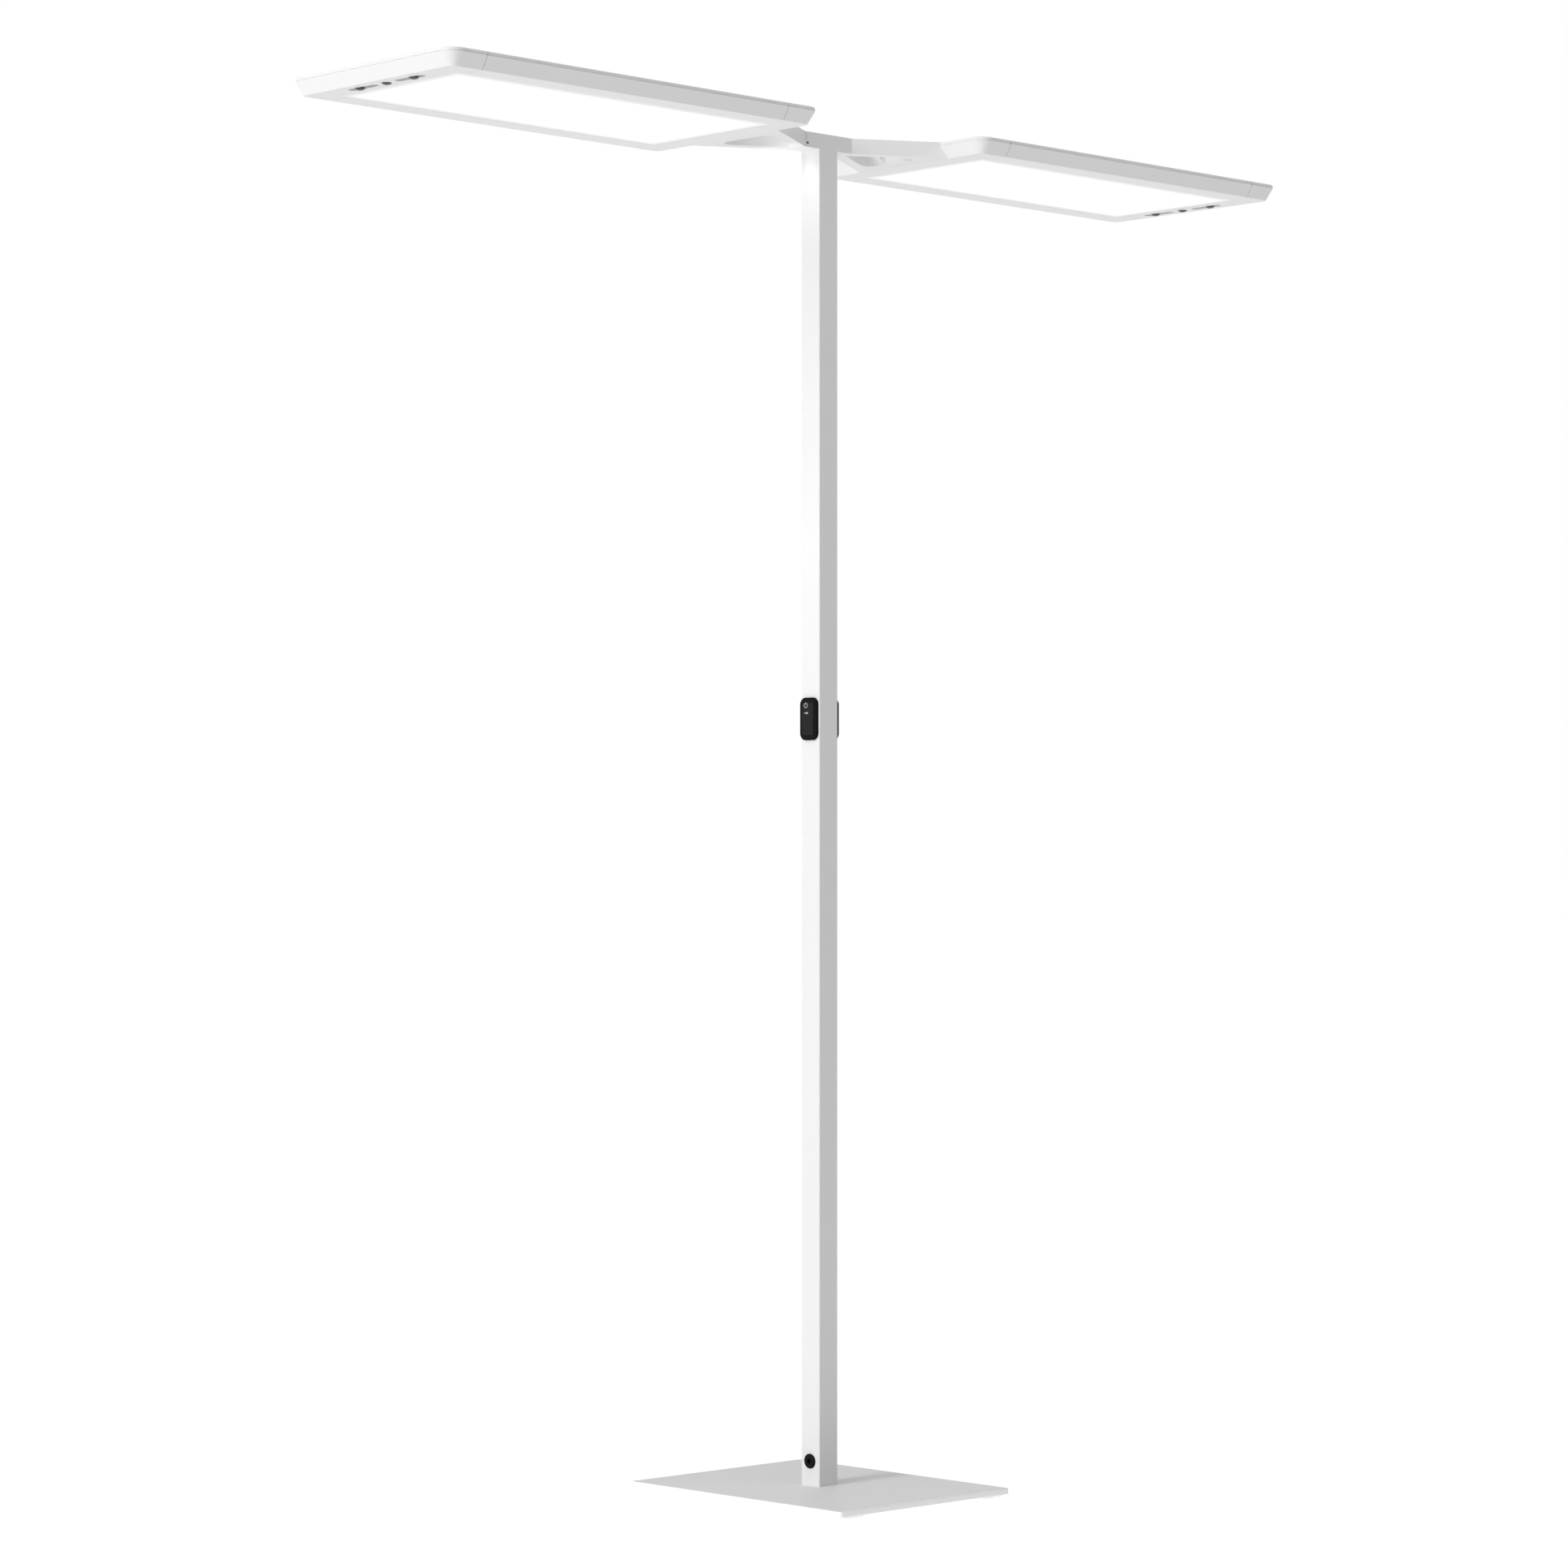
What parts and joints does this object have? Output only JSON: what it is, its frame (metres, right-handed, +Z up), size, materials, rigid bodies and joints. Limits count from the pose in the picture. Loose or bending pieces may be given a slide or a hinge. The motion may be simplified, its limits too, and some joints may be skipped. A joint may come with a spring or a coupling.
{
  "type": "office floor lamp",
  "caption": "Free-standing office lamp: square post on a flat rectangular base, with twin flat rectangular light heads on open forks and pressing keys on the post.",
  "frame": {"origin": "on the floor under the post's axis", "axes": "+X along the heads, +Y across them, +Z up"},
  "size_m": [1.654, 0.43, 1.95],
  "materials": {
    "base_steel": "fine textured matt powder coat, light grey-white",
    "pad_plastic": "smooth moulded pad",
    "screw_steel": "zinc-plated",
    "bolt_white": "steel with a white satin coat",
    "post_aluminium": "white satin powder coat on an extrusion",
    "gland_black": "black moulded nylon",
    "nut_black": "black moulded nylon",
    "driver_case": "moulded casing",
    "holder_plastic": "moulded",
    "cable_jacket": "smooth cable jacket",
    "control_black": "black, fine spark texture",
    "key_black": "black, satin",
    "circuit_board": "solder mask",
    "cast_aluminium": "white satin powder coat on a casting",
    "terminal_plastic": "moulded",
    "lock_screw_dark": "blackened steel",
    "rail_aluminium": "white satin powder coat on an extrusion",
    "cap_aluminium": "white satin powder coat on a casting",
    "cover_sheet": "white satin powder coat on sheet",
    "opal_panel": "opal acrylic, lit",
    "light_guide_acrylic": "clear acrylic light guide",
    "reflector_white": "white reflector film",
    "sensor_smoke": "smoked window"
  },
  "bodies": {
    "stand": {"base_plate": "base_steel", "foot_pads": "pad_plastic", "base_screws": "screw_steel", "post_tube": "post_aluminium", "cord_gland": "gland_black", "gland_nut": "nut_black", "driver": "driver_case", "driver_holders": "holder_plastic", "riser_cable": "cable_jacket", "control_left_housing": "control_black", "control_left_board": "circuit_board", "control_right_housing": "control_black", "control_right_board": "circuit_board", "hub": "cast_aluminium", "hub_cap": "cast_aluminium", "hub_screws": "screw_steel", "hub_terminal": "terminal_plastic", "lock_screws": "lock_screw_dark", "fork_left": "cast_aluminium", "fork_right": "cast_aluminium", "fork_cover_left": "cast_aluminium", "fork_cover_right": "cast_aluminium", "fork_bolts_left": "bolt_white", "fork_bolts_right": "bolt_white", "head_lead_left": "cable_jacket", "head_lead_right": "cable_jacket", "left_front_rail": "rail_aluminium", "left_rear_rail": "rail_aluminium", "left_inner_cap": "cap_aluminium", "left_outer_cap": "cap_aluminium", "left_top_cover": "cover_sheet", "left_uplight_lens": "opal_panel", "left_light_guide": "light_guide_acrylic", "left_reflector": "reflector_white", "left_diffuser": "opal_panel", "left_led_strips": "circuit_board", "left_sensor_lenses": "sensor_smoke", "left_sensor_board": "circuit_board", "left_junction": "terminal_plastic", "left_cap_screws": "screw_steel", "left_cover_screws": "screw_steel", "right_front_rail": "rail_aluminium", "right_rear_rail": "rail_aluminium", "right_inner_cap": "cap_aluminium", "right_outer_cap": "cap_aluminium", "right_top_cover": "cover_sheet", "right_uplight_lens": "opal_panel", "right_light_guide": "light_guide_acrylic", "right_reflector": "reflector_white", "right_diffuser": "opal_panel", "right_led_strips": "circuit_board", "right_sensor_lenses": "sensor_smoke", "right_sensor_board": "circuit_board", "right_junction": "terminal_plastic", "right_cap_screws": "screw_steel", "right_cover_screws": "screw_steel"},
    "left_key": {"control_left_key": "key_black"},
    "right_key": {"control_right_key": "key_black"}
  },
  "joints": [
    {"name": "left_key_press", "type": "slide", "parent": "stand", "child": "left_key", "axis": [1, 0, 0], "range_m": [0, 0.001], "stiffness_N_per_m": 500, "springref_m": -0.001},
    {"name": "right_key_press", "type": "slide", "parent": "stand", "child": "right_key", "axis": [-1, 0, 0], "range_m": [0, 0.001], "stiffness_N_per_m": 500, "springref_m": -0.001}
  ]
}
